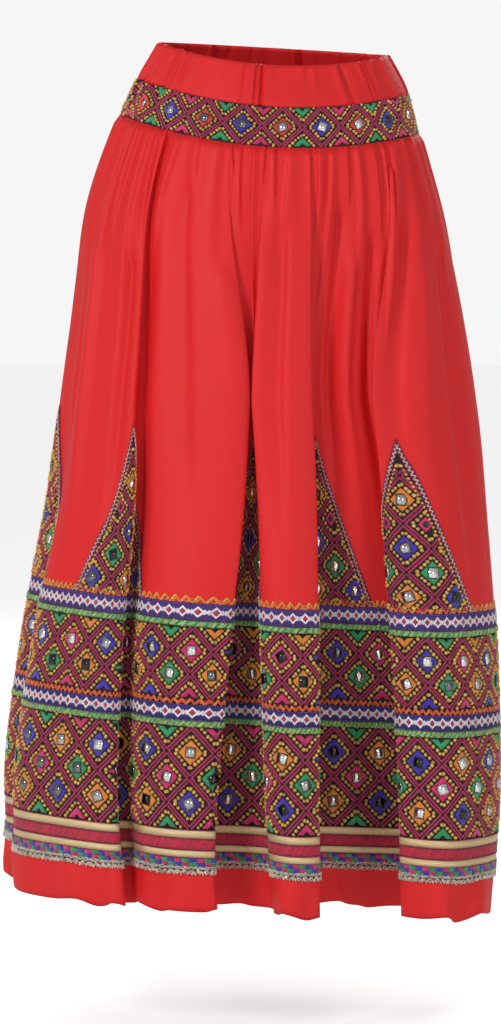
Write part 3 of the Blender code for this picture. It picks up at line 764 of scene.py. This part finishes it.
def link_bit():
    """One stitch: a bar one metre square on the cloth, with a narrower back so that it looks round."""
    start_bit()
    bpy.ops.mesh.primitive_cylinder_add(vertices=4, radius=0.5 * math.sqrt(2), depth=0.6)

    def narrow_back():
        square_up()
        bpy.ops.mesh.select_all(action="DESELECT")
        bpy.ops.object.mode_set(mode="OBJECT")
        for face in bpy.context.object.data.polygons:
            face.select = face.normal.z > 0.9
        bpy.ops.object.mode_set(mode="EDIT")
        bpy.ops.transform.resize(value=(0.75, 0.5, 1))

    shape_active(narrow_back)
    return take_bit()


def tile_bit():
    """A thin square tile, for mirrors and for woven blocks."""
    start_bit()
    bpy.ops.mesh.primitive_cylinder_add(vertices=4, radius=0.5, depth=0.12)
    shape_active(square_up)
    return take_bit()


def frame_bit(inner, outer, height, inner_bulge=1.03, half=False):
    """A square frame of satin stitch on its corner, with a rounded back, or the lower half of one."""
    start_bit()
    bpy.ops.mesh.primitive_circle_add(vertices=4, radius=outer)

    def draw_profile():
        profile = (
            # reach, height above the cloth
            (outer * 0.97, height * 0.7),
            ((inner + outer) / 2, height),
            (inner * inner_bulge, height * 0.7),
            (inner, 0.0),
        )
        reach, up = outer, 0.0
        for next_reach, next_up in profile:
            bpy.ops.mesh.extrude_edges_move(TRANSFORM_OT_translate={"value": (0, 0, next_up - up)})
            bpy.ops.transform.resize(value=(next_reach / reach, next_reach / reach, 1))
            reach, up = next_reach, next_up
        bpy.ops.mesh.select_all(action="DESELECT")
        bpy.ops.mesh.select_non_manifold()
        bpy.ops.mesh.bridge_edge_loops()
        bpy.ops.mesh.select_all(action="SELECT")
        bpy.ops.mesh.normals_make_consistent(inside=False)
        if half:
            bpy.ops.mesh.bisect(plane_co=(0, 0, 0), plane_no=(0, 1, 0), use_fill=True, clear_outer=True)

    shape_active(draw_profile)
    return take_bit()


KNOT, LINK, TILE = knot_bit(), link_bit(), tile_bit()
SATIN = frame_bit(0.23, 0.50, 0.055)
OUTLINE_BIT = frame_bit(0.28, 0.50, 0.10)
HALF_SATIN = frame_bit(0.16, 0.46, 0.055, inner_bulge=1.05, half=True)
print("faces in a knot, a stitch, a tile and two frames:")
print([len(bit.faces) for bit in (KNOT, LINK, TILE, SATIN, HALF_SATIN)])

# %% [markdown]
# ## The stamp
# An embroiderer draws on flat cloth, and the cloth folds afterwards. The stamp does the same:
# each copy of a small shape gets a place on the flat cloth in metres, a turn, a size, a height
# above the cloth and a colour of thread, and every point is then laid on the folded surface. All
# copies become one mesh, and a colour attribute keeps each stitch's own thread.

# %% Thread colours and the stamp
COLOURS = {
    "blue": (0.045, 0.022, 0.52),
    "pink": (0.76, 0.008, 0.15),
    "green": (0.008, 0.36, 0.12),
    "orange": (0.92, 0.27, 0.016),
    "red": (0.80, 0.03, 0.015),
    "yellow": (0.96, 0.54, 0.075),
    "maroon": (0.52, 0.010, 0.10),
    "black": (0.012, 0.006, 0.008),
    "white": (0.90, 0.84, 0.88),
    "crimson": (0.60, 0.008, 0.05),
    "orange_red": (0.82, 0.09, 0.012),
    "light_green": (0.42, 0.58, 0.19),
    "gold": (0.80, 0.58, 0.26),
    "silver": (0.78, 0.70, 0.56),
    "purple": (0.075, 0.022, 0.19),
}


class Stamps:
    """Copies of small shapes on the cloth, gathered for one mesh."""

    def __init__(self):
        self.groups = []

    def add(self, bit, across, down, size, turn=0.0, colour="yellow", lift=0.0, tall=None, tilt=0.0):
        """Stamp a bit at places in metres of flat cloth. Each value is one for all or one for each."""
        across = np.atleast_1d(np.asarray(across, float))
        count = len(across)
        size = np.asarray(size, float)
        paired = size.ndim > 0 and size.shape[-1] == 2
        wide, long = (size[..., 0], size[..., 1]) if paired else (size, size)
        tall = wide if tall is None else tall
        values = [np.broadcast_to(value, (count,)) for value in (down, wide, long, turn, lift, tall, tilt)]
        paint = np.broadcast_to(COLOURS[colour] if isinstance(colour, str) else colour, (count, 3))
        self.groups.append((bit, across, paint, *values))

    def make(self, name, material, place=None):
        """Join all copies as one mesh on the cloth."""
        place = place or (lambda across, down, up: surface(across / COLUMN, down, up))
        points, sizes, corners, paints, flats, base = [], [], [], [], [], 0
        for bit, across, paint, down, wide, long, turn, lift, tall, tilt in self.groups:
            local_x = bit.points[None, :, 0] * wide[:, None]
            local_y = bit.points[None, :, 1] * long[:, None]
            up = bit.points[None, :, 2] * tall[:, None] + lift[:, None] + local_x * tilt[:, None]
            cosine, sine = np.cos(turn)[:, None], np.sin(turn)[:, None]
            right = local_x * cosine - local_y * sine
            away = local_x * sine + local_y * cosine
            points.append(place(across[:, None] + right, down[:, None] - away, up).reshape(-1, 3))
            copies, count = len(across), len(bit.points)
            sizes.append(np.tile(bit.sizes, copies))
            shift = base + np.arange(copies)[:, None] * count
            corners.append((bit.corners[None] + shift).ravel())
            paints.append(np.repeat(paint, count, axis=0))
            flat = np.stack((local_x + across[:, None] * 0.37, local_y + down[:, None] * 0.61), axis=-1)
            flats.append(flat[:, bit.corners].reshape(-1, 2))
            base += copies * count
        points, sizes, corners = map(np.concatenate, (points, sizes, corners))
        paints, flats = np.concatenate(paints), np.concatenate(flats)
        mesh = bpy.data.meshes.new(name)
        mesh.vertices.add(len(points))
        mesh.vertices.foreach_set("co", points.ravel().astype(np.float32))
        mesh.loops.add(len(corners))
        mesh.loops.foreach_set("vertex_index", corners.astype(np.int32))
        mesh.polygons.add(len(sizes))
        starts = np.concatenate(((0,), np.cumsum(sizes)[:-1]))
        mesh.polygons.foreach_set("loop_start", starts.astype(np.int32))
        mesh.update(calc_edges=True)
        colour = mesh.attributes.new("thread", "FLOAT_COLOR", "POINT")
        colour.data.foreach_set("color", np.c_[paints, np.ones(len(paints))].ravel().astype(np.float32))
        mesh.uv_layers.new(name="cloth").data.foreach_set("uv", flats.ravel().astype(np.float32))
        mesh.validate()
        print(name, int((sizes - 2).sum()), "triangles")
        return link(mesh, name, material)


print(len(COLOURS), "colours of thread, glass and braid")

# %% [markdown]
# ## The mirror-work lattice
# The panels carry diamonds in a lattice. From the middle out, each has a square mirror, a satin
# frame in one of four colours, black cloth, and a ring of yellow knots. Double chain stitch in
# maroon divides them. Half diamonds stand along the top and bottom edges. Two counts, a column
# and a row, say which diamond is which, so loops and a rule for the colours place them all, and
# a seeded random generator makes hand work of it.

# %% The panels' rows and the rules for their colours
rng = np.random.default_rng(7)
# first drop, last drop, rows of half diamonds
UPPER_ROWS = (0.6615, 0.742, 3)
LOWER_ROWS = (0.7745, 0.8885, 4)
BAND_ROWS = (BAND_TOP + 0.0006, BODY_TOP - 0.0003, 2)


def upper_colour(column, row):
    return ("orange", "blue", "green", "pink")[column % 4]


def lower_colour(column, row):
    pair = ("blue", "orange") if column % 2 else ("pink", "green")
    return pair[(column // 2 + row // 2) % 2]


def band_colour(column, row):
    return ("green", "blue", "pink", "red")[column % 4]


def varied(colour, count, least=0.82, most=1.14):
    """One colour for each stitch, some lighter and some darker."""
    return np.array(COLOURS[colour]) * rng.uniform(least, most, (count, 1))


print("rows of half diamonds", [rows[2] for rows in (UPPER_ROWS, LOWER_ROWS, BAND_ROWS)])

# %% The stitches of one panel
QUARTERS = ((1, 1), (1, -1), (-1, 1), (-1, -1))
MIRROR_SHARE, RIM = 0.53, 1.24
# painted reflection: mirror glass colours from bright to nearly black, as if each reflected light or dark
MIRROR_REFLECTION_TONES, MIRROR_ODDS = (0.95, 0.60, 0.25, 0.06), (0.35, 0.2, 0.2, 0.25)
HALF_INSET = 0.0012
KNOT_RING, KNOTS_A_SIDE = 0.668, 5
CHAIN_RING, CHAIN_STEP = 0.915, 0.0042
CHAIN_LINK = np.array((0.0046, 0.0026))


def everywhere(across, down, margin):
    return np.ones(np.broadcast(across, down).shape, bool)


def mirrors_on(stamps, mirrors, spots, wide):
    """A mirror at each of these places, on a dark rim, its glass painted brighter or darker as a painted
    reflection.
    """
    count = len(spots)
    # each mirror's glass gets one of the painted reflection tones
    tone = rng.choice(MIRROR_REFLECTION_TONES, (count, 1), p=MIRROR_ODDS)
    tilt = rng.uniform(-0.05, 0.05, count)
    glass = np.repeat(wide * MIRROR_SHARE * rng.uniform(0.94, 1.06, (count, 1)), 2, axis=1)
    turn = rng.normal(0, 0.28, count)
    across, down = spots[:, 0], spots[:, 1]
    stamps.add(TILE, across, down, glass * RIM, turn=turn, colour="black", lift=0.0006, tall=0.008)
    mirrors.add(TILE, across, down, glass, turn=turn, colour=tone, lift=0.0011, tall=0.008, tilt=tilt)


def diamonds(stamps, mirrors, cells, top, high, wide, rows, keep):
    """Satin frames, their mirrors, and half frames at the two edges."""
    size = np.array((wide, high))
    thick = wide * 0.9
    for colour in sorted({colour for _, _, colour in cells}):
        places = [(column * wide, top + row * high, row) for column, row, name in cells if name == colour]
        spots = np.array(places)
        spots = spots[keep(spots[:, 0], spots[:, 1], wide / 2)]
        whole = spots[(spots[:, 2] > 0) & (spots[:, 2] < rows)]
        upper, lower = spots[spots[:, 2] == 0], spots[spots[:, 2] == rows]
        if len(whole):
            shades = varied(colour, len(whole), 0.9, 1.1)
            stamps.add(SATIN, whole[:, 0], whole[:, 1], size, colour=shades, tall=thick)
            mirrors_on(stamps, mirrors, whole, wide)
        for edge, turn, way in ((upper, 0.0, 1), (lower, math.pi, -1)):
            if len(edge):
                shades = varied(colour, len(edge), 0.9, 1.1)
                down = edge[:, 1] + way * HALF_INSET
                stamps.add(HALF_SATIN, edge[:, 0], down, size * 0.95, turn=turn, colour=shades, tall=thick)


def along_sides(cells, reach, count, top, high, wide, rows):
    """Places along the four sides of a diamond at this share of every cell, and each side's slope."""
    share = (np.arange(count) + 0.5) / count
    found = []
    for column, row, _ in cells:
        for side_x, side_y in QUARTERS:
            if (row == 0 and side_y < 0) or (row == rows and side_y > 0):
                continue
            across = column * wide + side_x * wide * reach * share
            down = top + row * high + side_y * high * reach * (1 - share)
            slope = np.full(count, side_x * side_y * math.atan2(high, wide))
            found.append(np.stack((across, down, slope), axis=-1))
    return np.concatenate(found)


def lattice(stamps, mirrors, colour_of, size, columns, wide=COLUMN, keep=everywhere):
    """Every stitch of a panel. A cell spans two columns and two rows."""
    top, bottom, rows = size
    high = (bottom - top) / rows
    cells = [
        (column, row, colour_of(column, row))
        for column in columns
        for row in range(rows + 1)
        if (column + row) % 2 == 0
    ]
    diamonds(stamps, mirrors, cells, top, high, wide, rows, keep)
    knots = along_sides(cells, KNOT_RING, KNOTS_A_SIDE, top, high, wide, rows)
    knots = knots[keep(knots[:, 0], knots[:, 1], 0.002)]
    knots[:, :2] += rng.normal(0, 0.0004, (len(knots), 2))
    turn = rng.uniform(0, 3, len(knots))
    knot_size = wide * rng.uniform(0.145, 0.185, len(knots))
    shades = varied("yellow", len(knots), 0.7, 1.15)
    stamps.add(KNOT, knots[:, 0], knots[:, 1], knot_size, turn=turn, colour=shades)
    links_a_side = round(math.hypot(wide, high) / CHAIN_STEP)
    chain = along_sides(cells, CHAIN_RING, links_a_side, top, high, wide, rows)
    chain = chain[keep(chain[:, 0], chain[:, 1], 0.001)]
    shades = varied("maroon", len(chain))
    stamps.add(LINK, chain[:, 0], chain[:, 1], CHAIN_LINK, turn=chain[:, 2], colour=shades, tall=0.0022)


mirror_side = COLUMN * MIRROR_SHARE * math.sqrt(0.5)
print(KNOTS_A_SIDE * len(QUARTERS), "knots round a diamond, mirror", round(mirror_side * 1000, 1), "mm")

# %% [markdown]
# ## Stitching the panels and the waist band
# Where the cloth is folded steeply, a column of it is drawn narrower than it is flat, and a
# diamond would be squeezed with it. So the diamonds are counted along the cloth's true length at
# the panel's middle, the same number to each half, and keep one size all round.

# %% Stitch the two panels and the waist band
HALF = COLUMNS // 2
BAND_STEPS, BAND_STEP = 20, 0.0256


def even_round(drop, steps):
    """A place function that spaces stitches evenly round the cloth, this many steps to each half."""
    fine = np.linspace(-COLUMNS / 2, COLUMNS * 1.5, 4001)
    points = smooth_cloth(fine, np.full(len(fine), drop))
    arc = np.concatenate(((0,), np.cumsum(np.linalg.norm(np.diff(points, axis=0), axis=-1))))
    halves = np.arange(-1, 4)
    seams = np.interp(halves * COLUMNS / 2, fine, arc)
    step_of = np.interp(arc, seams, halves * steps)
    return lambda step: np.interp(step, step_of, fine)


def finish_pair(name, stamps, mirrors, place=None):
    thread_piece = stamps.make(f"{name}_stitches", stitched, place)
    glass_piece = mirrors.make(f"{name}_mirrors", mirror, place)
    for piece, slot in ((thread_piece, "mirror_embroidery"), (glass_piece, "mirror")):
        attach(piece, "root")


for name, size, colour_of, steps, wide, level in (
    ("border_upper", UPPER_ROWS, upper_colour, HALF, COLUMN, 0.70),
    ("border_lower", LOWER_ROWS, lower_colour, HALF, COLUMN, 0.83),
    ("band", BAND_ROWS, band_colour, BAND_STEPS, BAND_STEP, 0.077),
):
    to_column = even_round(level, steps)
    place = lambda across, down, up: surface(to_column(across / wide), down, up)
    for side, first in (("back", 0), ("front", steps)):
        stamps, mirrors = Stamps(), Stamps()
        lattice(stamps, mirrors, colour_of, size, range(first, first + steps), wide)
        finish_pair(f"{name}_{side}", stamps, mirrors, place)

# %% [markdown]
# ## Helpers for the laces and ribbons
# Seven narrow trims run round the border. Each is a closed ring of cloth a little proud of the
# panels, and the parts that stand up, such as chained diamonds, zigzags and cords, are stamped
# on it with a step that goes a whole number of times round.

# %% Trim helpers
FLAT_HEM = COLUMN * COLUMNS
PROUD = 0.0010


def ring_sheet(name, top, bottom, finish, lift=PROUD, node=None, thickness=0.0008):
    """A closed ring of ribbon between two drops."""
    piece = cloth_sheet(name, 0, COLUMNS, top, bottom, finish, lift, thickness, 6, 0.005, closed=True)
    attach(piece, "root")
    if node:
        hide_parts(node)
    return piece


def repeats(step):
    """Evenly spaced places round the hem, as near to this step as goes round, and the step."""
    count = round(FLAT_HEM / step / 2) * 2
    return np.arange(count) * FLAT_HEM / count, FLAT_HEM / count


def zigzag(stamps, down, tall, period, colours, width=0.0016, lift=PROUD):
    """A zigzag of straight stitches with their middles at this drop."""
    legs, step = repeats(period / 2)
    leg_long = math.hypot(step, tall)
    slope = np.where(np.arange(len(legs)) % 2, 1.0, -1.0) * math.atan2(tall, step)
    size = np.array((leg_long * 1.06, width))
    for number, colour in enumerate(colours):
        some = slice(number, None, len(colours))
        shades = varied(colour, len(legs[some]))
        stamps.add(LINK, legs[some], down, size, turn=slope[some], colour=shades, lift=lift, tall=width)


def linked_diamonds(stamps, down, tall):
    """A chain of outlined diamonds with crimson middles and crossed joints."""
    spots, step = repeats(0.012)
    outline = np.array((step * 0.84, tall))
    shades = varied("white", len(spots))
    stamps.add(OUTLINE_BIT, spots, down, outline, colour=shades, lift=PROUD, tall=0.012)
    shades = varied("crimson", len(spots))
    stamps.add(TILE, spots, down, outline * 0.50, turn=math.pi / 4, colour=shades, lift=PROUD, tall=0.007)
    joint = np.array((tall * 0.52, 0.0017))
    for turn in (-0.95, 0.0, 0.95):
        shades = varied("white", len(spots))
        stamps.add(LINK, spots + step / 2, down, joint, turn=turn, colour=shades, lift=PROUD, tall=0.0016)
    dots, dot_step = repeats(0.006)
    dot_size = np.array((dot_step * 0.7, 0.0012))
    for edge in (-0.62, 0.62):
        shades = varied("purple", len(dots), 0.8, 2.4)
        stamps.add(LINK, dots, down + edge * tall, dot_size, colour=shades, lift=PROUD, tall=0.0012)


def twisted(stamps, down, width, colours, step=0.0024, slant=0.9):
    """A fuzzy cord laid flat: short slanting tufts of mixed colour and size."""
    spots, step = repeats(step)
    for number, colour in enumerate(colours):
        some = spots[number :: len(colours)]
        count = len(some)
        size = np.stack((width * rng.uniform(0.85, 1.25, count), np.full(count, step * 1.25)), axis=-1)
        turn = slant + rng.normal(0, 0.16, count)
        drops = down + rng.normal(0, 0.0004, count)
        shades = varied(colour, count, 0.7, 1.2)
        stamps.add(LINK, some, drops, size, turn=turn, colour=shades, lift=PROUD * 0.9, tall=0.0034)


def finish_trim(name, stamps, finish=stitched):
    piece = stamps.make(name, finish)
    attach(piece, "root")


print("a trim is", round(FLAT_HEM, 2), "m long, laid flat")

# %% [markdown]
# ## The laces and their cords
# A purple lace tops the first panel and a navy one lies between the two. Both are woven ribbons
# with a chain of white diamonds, a zigzag of orange thread over the upper edge, and a fuzzy green
# cord under the lower one. They differ only in place and colour, so one loop makes both.

# %% The laces above and between the panels
for name, lace_top, lace_bottom, cord_bottom, ground, cord in (
    ("upper", LACE_TOP, CORD_TOP, PANEL_1_TOP, purple_cloth, ("light_green", "green", "light_green")),
    ("middle", PANEL_2_TOP, CORD_2_TOP, CORD_2_END, navy_cloth, ("light_green", "green")),
):
    ring_sheet(f"{name}_lace_ribbon", lace_top, lace_bottom, ground, node=f"{name}_lace")
    chain = Stamps()
    linked_diamonds(chain, (lace_top + lace_bottom) / 2, 0.0135)
    finish_trim(f"{name}_lace_chain", chain)
    edge = Stamps()
    if name == "upper":
        zigzag(edge, lace_top - 0.0038, 0.0080, 0.0096, ("orange", "yellow"), 0.0021, lift=0.0001)
        zigzag(edge, lace_top - 0.0024, 0.0046, 0.0064, ("orange_red", "orange"), 0.0022, lift=0.0001)
    else:
        mixed = ("orange_red", "orange_red", "orange")
        zigzag(edge, lace_top - 0.0032, 0.0062, 0.0070, mixed, 0.0024, lift=0.0002)
        zigzag(edge, lace_top - 0.0030, 0.0030, 0.0050, ("orange_red", "red"), 0.0015, lift=0.0002)
    finish_trim(f"{name}_lace_zigzag", edge)
    cord_top, cord_middle = lace_bottom + GAP, (lace_bottom + cord_bottom) / 2
    ring_sheet(f"{name}_cord_ground", cord_top, cord_bottom, green_cloth, node=f"{name}_cord")
    strand = Stamps()
    twisted(strand, cord_middle + 0.0003, 0.0062, cord)
    if name == "middle":
        zigzag(strand, cord_middle + 0.0006, 0.0050, 0.0080, ("yellow",), 0.0012, lift=0.0022)
    finish_trim(f"{name}_cord_strand", strand)

# %% [markdown]
# ## The gold and crimson braid
# Two flat gold ribbons edge a ribbed crimson one. The gold is a metal thread in a woven ribbon,
# so its material is cloth that is partly metal, and small tiles of thread catch the light. The
# crimson ribs are slanting stitches, and dark stitches mark the four edges.

# %% Gold and crimson braid
gold_cloth = cloth_material(
    "gold_ribbon", (0.78, 0.58, 0.31), 0.38, 0.0, depth=0.30, threads=1100, relief=0.0003
)
gold_cloth.node_tree.nodes["Principled BSDF"].inputs["Metallic"].default_value = 0.45
crimson_cloth = cloth_material("crimson_ribbon", (0.56, 0.008, 0.045), 0.55, 0.1, threads=700)

JOIN = 0.0002
GOLD_1, CRIMSON_END = HEM_TOP + 0.0100, RIBBON_TOP - 0.0090
ring_sheet("gold_ribbon_upper", HEM_TOP, GOLD_1, gold_cloth, node="crimson_braid")
ring_sheet("crimson_ribbon", GOLD_1 + JOIN, CRIMSON_END, crimson_cloth, lift=PROUD * 0.8)
ring_sheet("gold_ribbon_lower", CRIMSON_END + JOIN, RIBBON_TOP - JOIN, gold_cloth)

ribs = Stamps()
places, step = repeats(0.0030)
size = np.array(((CRIMSON_END - GOLD_1) * 1.02, step * 0.78))
shades = varied("crimson", len(places), 0.7, 1.2)
middle = (GOLD_1 + CRIMSON_END) / 2
ribs.add(LINK, places, middle, size, turn=1.1, colour=shades, lift=PROUD * 0.7, tall=0.0010)
places, step = repeats(0.0084)
for down in (HEM_TOP + 0.0004, GOLD_1, CRIMSON_END, RIBBON_TOP - 0.0004):
    shades = varied("maroon", len(places), 0.3, 0.7)
    ribs.add(LINK, places, down, np.array((step, 0.0011)), colour=shades, lift=PROUD, tall=0.0014)
finish_trim("crimson_ribbon_ribs", ribs)

glitter = Stamps()
SPARKLES = 400
for top, bottom in ((HEM_TOP, GOLD_1), (CRIMSON_END, RIBBON_TOP)):
    across = rng.uniform(0, FLAT_HEM, SPARKLES)
    down = rng.uniform(top + 0.001, bottom - 0.001, SPARKLES)
    size = np.stack((rng.uniform(0.0014, 0.0034, SPARKLES), np.full(SPARKLES, 0.0006)), axis=-1)
    shades = varied("gold", SPARKLES, 0.8, 1.7)
    glitter.add(TILE, across, down, size, colour=shades, lift=PROUD, tall=0.0012)
finish_trim("gold_ribbon_glitter", glitter, silver_thread)

# %% [markdown]
# ## The check ribbon and the silver lace
# The check ribbon is a purple ribbon with two rows of woven blocks in green, blue and pink, each
# a thin tile a little out of line. Below it hangs a silver lace: fans of five stitches make its
# scallops, and loose stitches above them fill the net, because at this size a lace is seen as
# many crossing threads.

# %% Check ribbon
ring_sheet("check_ribbon_ground", RIBBON_TOP, SILVER_TOP, purple_cloth, node="check_ribbon")
blocks = Stamps()
places, step = repeats(0.0073)
for row, offset in ((-1, 0), (1, 1)):
    for number, colour in enumerate(("green", "blue", "pink")):
        some = places[(number + offset) % 3 :: 3]
        count = len(some)
        size = np.stack((np.full(count, step * 1.36), rng.uniform(0.0058, 0.0068, count)), axis=-1)
        down = (RIBBON_TOP + SILVER_TOP) / 2 + row * 0.00225 + rng.normal(0, 0.0002, count)
        shades = varied(colour, count, 0.75, 1.1)
        turn = rng.normal(0, 0.07, count)
        blocks.add(TILE, some, down, size, turn=turn, colour=shades, lift=PROUD, tall=0.009)
finish_trim("check_ribbon_blocks", blocks)

# %% Silver lace
PETALS, PETAL_REACH = 5, 0.0038
NET_END, NET_LIFT = SILVER_END - 0.002, PROUD * 0.6
ring_sheet(
    "silver_lace_net", SILVER_TOP, NET_END, maroon_cloth, lift=NET_LIFT, node="silver_lace"
)
scallops = Stamps()
places, _ = repeats(0.0072)
count = len(places)
for petal in range(PETALS):
    angle = math.pi * (petal + 0.5) / PETALS
    across = places - math.cos(angle) * PETAL_REACH + rng.normal(0, 0.0003, count)
    down = SILVER_TOP + 0.0042 + math.sin(angle) * PETAL_REACH
    size = np.stack((rng.uniform(0.0034, 0.0050, count), rng.uniform(0.0013, 0.0020, count)), axis=-1)
    turn = angle - math.pi + rng.normal(0, 0.25, count)
    shades = varied("silver", count, 0.6, 1.3)
    scallops.add(LINK, across, down, size, turn=turn, colour=shades, lift=0.0012, tall=0.0024)
loose, _ = repeats(0.0021)
count = len(loose)
for level in (0.0010, 0.0026):
    size = np.stack((rng.uniform(0.0026, 0.0046, count), np.full(count, 0.0012)), axis=-1)
    turn = rng.uniform(-1.2, 1.2, count)
    down = SILVER_TOP + level + rng.normal(0, 0.0004, count)
    shades = varied("silver", count, 0.6, 1.3)
    scallops.add(LINK, loose, down, size, turn=turn, colour=shades, lift=0.0010, tall=0.0022)
finish_trim("silver_lace_scallops", scallops)

# %% [markdown]
# ## The nine embroidered triangles
# Triangles of the same lattice rise from the border into the red body. Each lies flat on the
# folded cloth and is edged with a narrow maroon braid that carries a silver zigzag to its point.
# The lattice function makes them too, with a test that keeps only the stitches inside the edges.

# %% The triangle's sizes and its cloth
GODET_TALL = GODET_FOOT - GODET_APEX
SLANT = math.atan2(GODET_HALF_BASE, GODET_TALL)
GODET_LEG = math.hypot(GODET_HALF_BASE, GODET_TALL)
GODET_ROW = 0.0275
LOWEST_MOTIF = GODET_FOOT - 0.018
GODET_ROWS = (LOWEST_MOTIF - GODET_ROW * 6, LOWEST_MOTIF + GODET_ROW * 2, 8)


def godet_cloth(name, middle):
    """The triangle's ground, as a shell whose rows narrow to a point."""
    levels, count = 28, 19
    down = np.linspace(GODET_APEX + 0.001, GODET_FOOT, levels)[:, None]
    half = GODET_HALF_BASE * (down - GODET_APEX) / GODET_TALL
    across = middle + half * np.linspace(-1, 1, count)[None]
    down = np.broadcast_to(down, across.shape)
    flat = np.stack((across, -down), axis=-1)
    outer = surface(across / COLUMN, down, 0.0011)
    inner = surface(across / COLUMN, down, 0.0002)
    return shell(name, outer, inner, flat, dark_cloth)


def braid_path(middle, beside, share):
    """A place on the way up one side and down the other, this far outside the triangle."""
    reach = GODET_HALF_BASE + beside / math.cos(SLANT)
    peak = GODET_APEX - beside / math.sin(SLANT)
    across = middle + reach * (2 * share - 1)
    down = peak + (GODET_FOOT - peak) * np.abs(2 * share - 1)
    return across, down


def godet_braid(name, middle):
    """The ground of the braid, a folded strip with a mitred point."""
    share = np.linspace(0, 1, 81)[None]
    beside = np.array((BRAID_WIDTH, BRAID_WIDTH * 0.5, 0.0004))[:, None]
    across, down = braid_path(middle, beside, share)
    down = np.minimum(down, GODET_FOOT)
    flat = np.stack((down + 0 * across, across), axis=-1)
    outer = surface(across / COLUMN, down, 0.0014)
    inner = surface(across / COLUMN, down, 0.0003)
    return shell(name, outer, inner, flat, maroon_cloth)


def declare_godet(number, ground, braid):
    """Hide the hard parts of the triangle and its braid, and attach the two cloths."""
    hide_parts(f"godet_{number}")
    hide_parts(f"godet_braid_{number}")
    for piece, slot in ((ground, "mirror_embroidery"), (braid, "silver_braid")):
        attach(piece, "root")


print("a triangle is", GODET_HALF_BASE * 2, "m wide and", round(GODET_TALL, 3), "m tall as it is cut")

# %% The triangle's stitches
EDGE_KNOTS = 36
ZIGZAG_STEP = 0.0026


def godet_colour(column, row):
    """Orange, blue and orange under the point, green beside them, and blue in the two corners."""
    middle = "blue" if row == 4 else "orange"
    beside = "green" if row == 5 else "pink"
    return (middle, beside, "blue")[abs(column) % 3]


def inside(across, down, margin):
    """Which places lie this far inside the triangle's edges."""
    half = GODET_HALF_BASE * (down - margin * 0.55 - GODET_APEX) / GODET_TALL - margin * 0.62
    return (np.abs(across) < half) & (down + margin < GODET_FOOT)


def side_motif_and_knots(stamps, side):
    """A small pink diamond beside the middle ones, and the knots that follow the edge."""
    beside, down = side * COLUMN * 0.84, LOWEST_MOTIF - GODET_ROW * 3
    stamps.add(SATIN, beside, down, COLUMN * 0.62, colour="pink", tall=COLUMN * 0.7)
    stamps.add(TILE, beside, down, COLUMN * 0.28, colour="black", lift=0.0004, tall=0.010)
    share = np.linspace(0.02, 0.98, EDGE_KNOTS)
    down = GODET_APEX + 0.012 + share * (GODET_TALL - 0.014)
    across = side * GODET_HALF_BASE * (down - GODET_APEX - 0.007) / GODET_TALL
    size = COLUMN * rng.uniform(0.12, 0.15, EDGE_KNOTS)
    stamps.add(KNOT, across, down, size, colour=varied("yellow", EDGE_KNOTS, 0.7, 1.1))


def silver_zigzag(stamps):
    """Short stitches that lean left and right all along the braid."""
    legs = round(GODET_LEG * 2 / ZIGZAG_STEP)
    share = (np.arange(legs) + 0.5) / legs
    across, down = braid_path(0.0, BRAID_WIDTH * 0.5, share)
    rise = np.where(share < 0.5, math.pi / 2 - SLANT, SLANT - math.pi / 2)
    turn = rise + np.where(np.arange(legs) % 2, 0.95, -0.95)
    size = np.array((BRAID_WIDTH * 0.86, 0.0013))
    shades = varied("silver", legs, 0.7, 1.3)
    stamps.add(LINK, across, down, size, turn=turn, colour=shades, lift=0.0005, tall=0.0015)


for number in range(1, GODETS + 1):
    middle = (FIRST_GODET + (number - 1) * COLUMNS / GODETS) * COLUMN
    ground = godet_cloth(f"godet_{number}_ground", middle)
    braid = godet_braid(f"godet_braid_{number}_ground", middle)
    declare_godet(number, ground, braid)

    place = lambda across, down, up: surface((across + middle) / COLUMN, down, up + 0.0009)
    stamps, mirrors, silver = Stamps(), Stamps(), Stamps()
    lattice(stamps, mirrors, godet_colour, GODET_ROWS, range(-3, 4), COLUMN, inside)
    for side in (-1, 1):
        side_motif_and_knots(stamps, side)
    finish_pair(f"godet_{number}", stamps, mirrors, place)
    silver_zigzag(silver)
    piece = silver.make(f"godet_braid_{number}_zigzag", silver_thread, place)
    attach(piece, "root")
